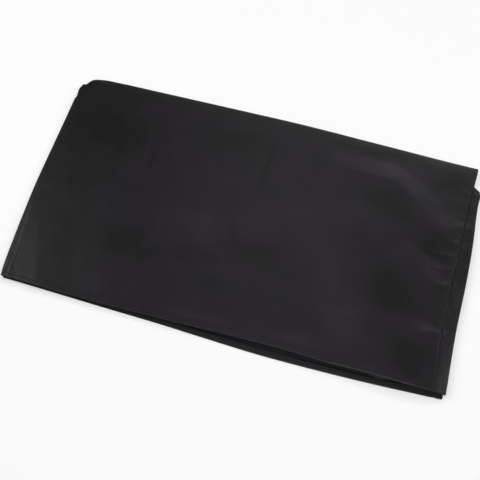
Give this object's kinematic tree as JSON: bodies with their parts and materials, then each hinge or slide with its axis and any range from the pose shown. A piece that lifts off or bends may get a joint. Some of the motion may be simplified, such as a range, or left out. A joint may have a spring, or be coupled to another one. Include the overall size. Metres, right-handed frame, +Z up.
{
  "type": "loudspeaker cover, folded",
  "caption": "Fitted cover of black coated cloth for a low, wide loudspeaker, folded flat with its front panel up and its hemmed mouth at the near edge.",
  "frame": {"origin": "centre of the folded cover's footprint, on the surface that it lies on", "axes": "+X along the long side, towards the edge with the notch; +Y from the mouth towards the back fold; +Z up"},
  "size_m": [0.6499, 0.3649, 0.0149],
  "materials": {
    "coated_cloth": "thin plain-woven cloth with a coated, slightly satin face, black"
  },
  "bodies": {
    "root": {"front_top_back_strip": "coated_cloth", "right_side_panel": "coated_cloth", "left_side_panel": "coated_cloth"}
  },
  "joints": []
}
